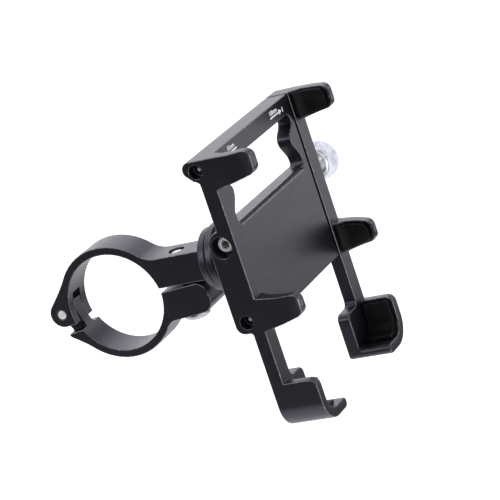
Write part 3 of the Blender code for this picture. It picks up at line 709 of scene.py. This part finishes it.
def camera():
    """Long-lens camera above the mount, on the phone's side and beside the fixed rail."""
    azimuth, elevation, roll = math.radians(-60.68), math.radians(14.52), math.radians(-18.73)
    target = Vector((0.0151, -0.0374, 0.0030))
    distance = 0.74
    level = math.cos(elevation)
    back = Vector((math.sin(azimuth) * level, -math.cos(azimuth) * level, math.sin(elevation)))
    data = bpy.data.cameras.new("camera")
    data.sensor_width = 36
    data.lens = 180.5
    data.clip_start = 0.05
    data.clip_end = 50
    made = bpy.data.objects.new("camera", data)
    bpy.context.scene.collection.objects.link(made)
    made.rotation_mode = "QUATERNION"
    made.location = target + back * distance
    level_view = (-back).to_track_quat("-Z", "Y")
    made.rotation_quaternion = level_view @ Matrix.Rotation(roll, 3, "Z").to_quaternion()
    bpy.context.scene.camera = made


def stage_sheet(name, corners, colour, glow_strength):
    """A flat sheet of the stage with a matt colour and a little glow."""
    mesh = bpy.data.meshes.new(name)
    mesh.from_pydata(corners, [], [(0, 1, 2, 3)])
    made = bpy.data.objects.new(name, mesh)
    bpy.context.scene.collection.objects.link(made)
    material = bpy.data.materials.new(name)
    material.use_nodes = True
    shader = material.node_tree.nodes["Principled BSDF"]
    shader.inputs["Base Color"].default_value = (*colour, 1)
    shader.inputs["Roughness"].default_value = 1.0
    shader.inputs["Specular IOR Level"].default_value = 0.0
    shader.inputs["Emission Color"].default_value = (1, 1, 1, 1)
    shader.inputs["Emission Strength"].default_value = glow_strength
    mesh.materials.append(material)
    made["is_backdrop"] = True
    return made


PALE = (0.30, 0.30, 0.30)
GLOW = 1.0


def floor_height():
    """Height of the floor below the mount, which a handlebar holds up."""
    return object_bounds()[0].z - 0.16


def floor():
    """A wide pale floor."""
    reach, height = 12.0, floor_height()
    square = [(-reach, -reach), (reach, -reach), (reach, reach), (-reach, reach)]
    stage_sheet("floor", [(x, y, height) for x, y in square], PALE, GLOW)


def backdrops():
    """Four pale walls that stand on the floor, which only the camera sees."""
    reach, low, high = 4.0, floor_height(), 8.0
    square = [(-reach, -reach), (reach, -reach), (reach, reach), (-reach, reach)]
    for index, (start, end) in enumerate(zip(square, square[1:] + square[:1])):
        corners = [(*start, low), (*end, low), (*end, high), (*start, high)]
        wall = stage_sheet(f"backdrop_{index + 1}", corners, PALE, GLOW)
        wall.visible_diffuse = False
        wall.visible_glossy = False
        wall.visible_shadow = False


def dark_card(name, centre, half_width, half_height):
    """A dark card that some faces mirror, as a studio flag does; the camera doesn't see it."""
    centre = Vector(centre)
    facing = -centre.normalized()
    across = facing.cross(Vector((0, 0, 1))).normalized() * half_width
    upward = across.cross(facing).normalized() * half_height
    low, high = (centre - upward, centre + upward)
    corners = [low - across, low + across, high + across, high - across]
    card = stage_sheet(name, corners, (0.02, 0.02, 0.02), 0.0)
    card.visible_camera = False
    card.visible_shadow = False
    card.visible_diffuse = False


def flags():
    """One card for the side faces of the rails and the clamp, and a narrow one for the plate's lower part."""
    dark_card("flag_left", (-0.32, 0.075, -0.08), 0.29, 0.17)
    dark_card("flag_low", (0.27, -0.21, -0.162), 0.2, 0.053)


def softbox(name, place, target, width, height, radiance, colour=(1, 1, 1)):
    """A rectangular light of an even radiance, which the camera doesn't see."""
    data = bpy.data.lights.new(name, "AREA")
    data.shape = "RECTANGLE"
    data.size = width
    data.size_y = height
    data.energy = radiance * math.pi * width * height
    data.color = colour
    made = bpy.data.objects.new(name, data)
    bpy.context.scene.collection.objects.link(made)
    made.location = place
    made.visible_camera = False
    aim(made, target)


def lights():
    """Soft light from all round. The upward faces mirror the one at the back."""
    centre = Vector((0.0, -0.03, 0.0))
    softbox("top", (0.15, 0.15, 0.95), centre, 1.3, 1.1, 1.6)
    softbox("back", (1.1, 0.62, 0.50), centre, 1.8, 1.1, 1.4, (0.97, 0.97, 1.0))
    softbox("camera_side", (-0.7, -0.75, 0.95), centre, 0.8, 0.8, 1.2)
    softbox("right", (1.25, -0.75, 0.42), centre, 0.9, 0.3, 2.2)
    softbox("left_high", (-0.8, 0.5, 0.52), centre, 0.7, 0.4, 4.0)
    softbox("low_front", (-0.285, -0.545, -0.155), centre, 0.5, 0.07, 5.0)


def world():
    """A faintly cool grey fill."""
    made = bpy.data.worlds.new("studio")
    bpy.context.scene.world = made
    made.use_nodes = True
    background = made.node_tree.nodes["Background"]
    background.inputs["Color"].default_value = (0.94, 0.95, 1.0, 1)
    background.inputs["Strength"].default_value = 0.45


def main():
    for node in ("clamp_arm", "lower_clamp_shell", "holder_body", "moving_jaw"):
        machined(node, TUMBLED, [ANODISED, ANODISED_EDGE])
    for jaw in ("fixed", "moving"):
        for place in ("upper", "lower", "cup"):
            machined(f"{jaw}_{place}_pad", MOULDED, [RUBBER], 3)
    guide_rods()
    hinge_pin()
    clamp_bolt()
    drive_screw()
    end_stop_screw()
    set_screws()
    swivel_spindle()
    washers()
    knob_collar()
    knob()
    retaining_clip()
    size_marks()
    bpy.context.scene.view_settings.view_transform = "Standard"
    camera()
    floor()
    backdrops()
    flags()
    lights()
    world()


main()
bpy.context.view_layer.update()
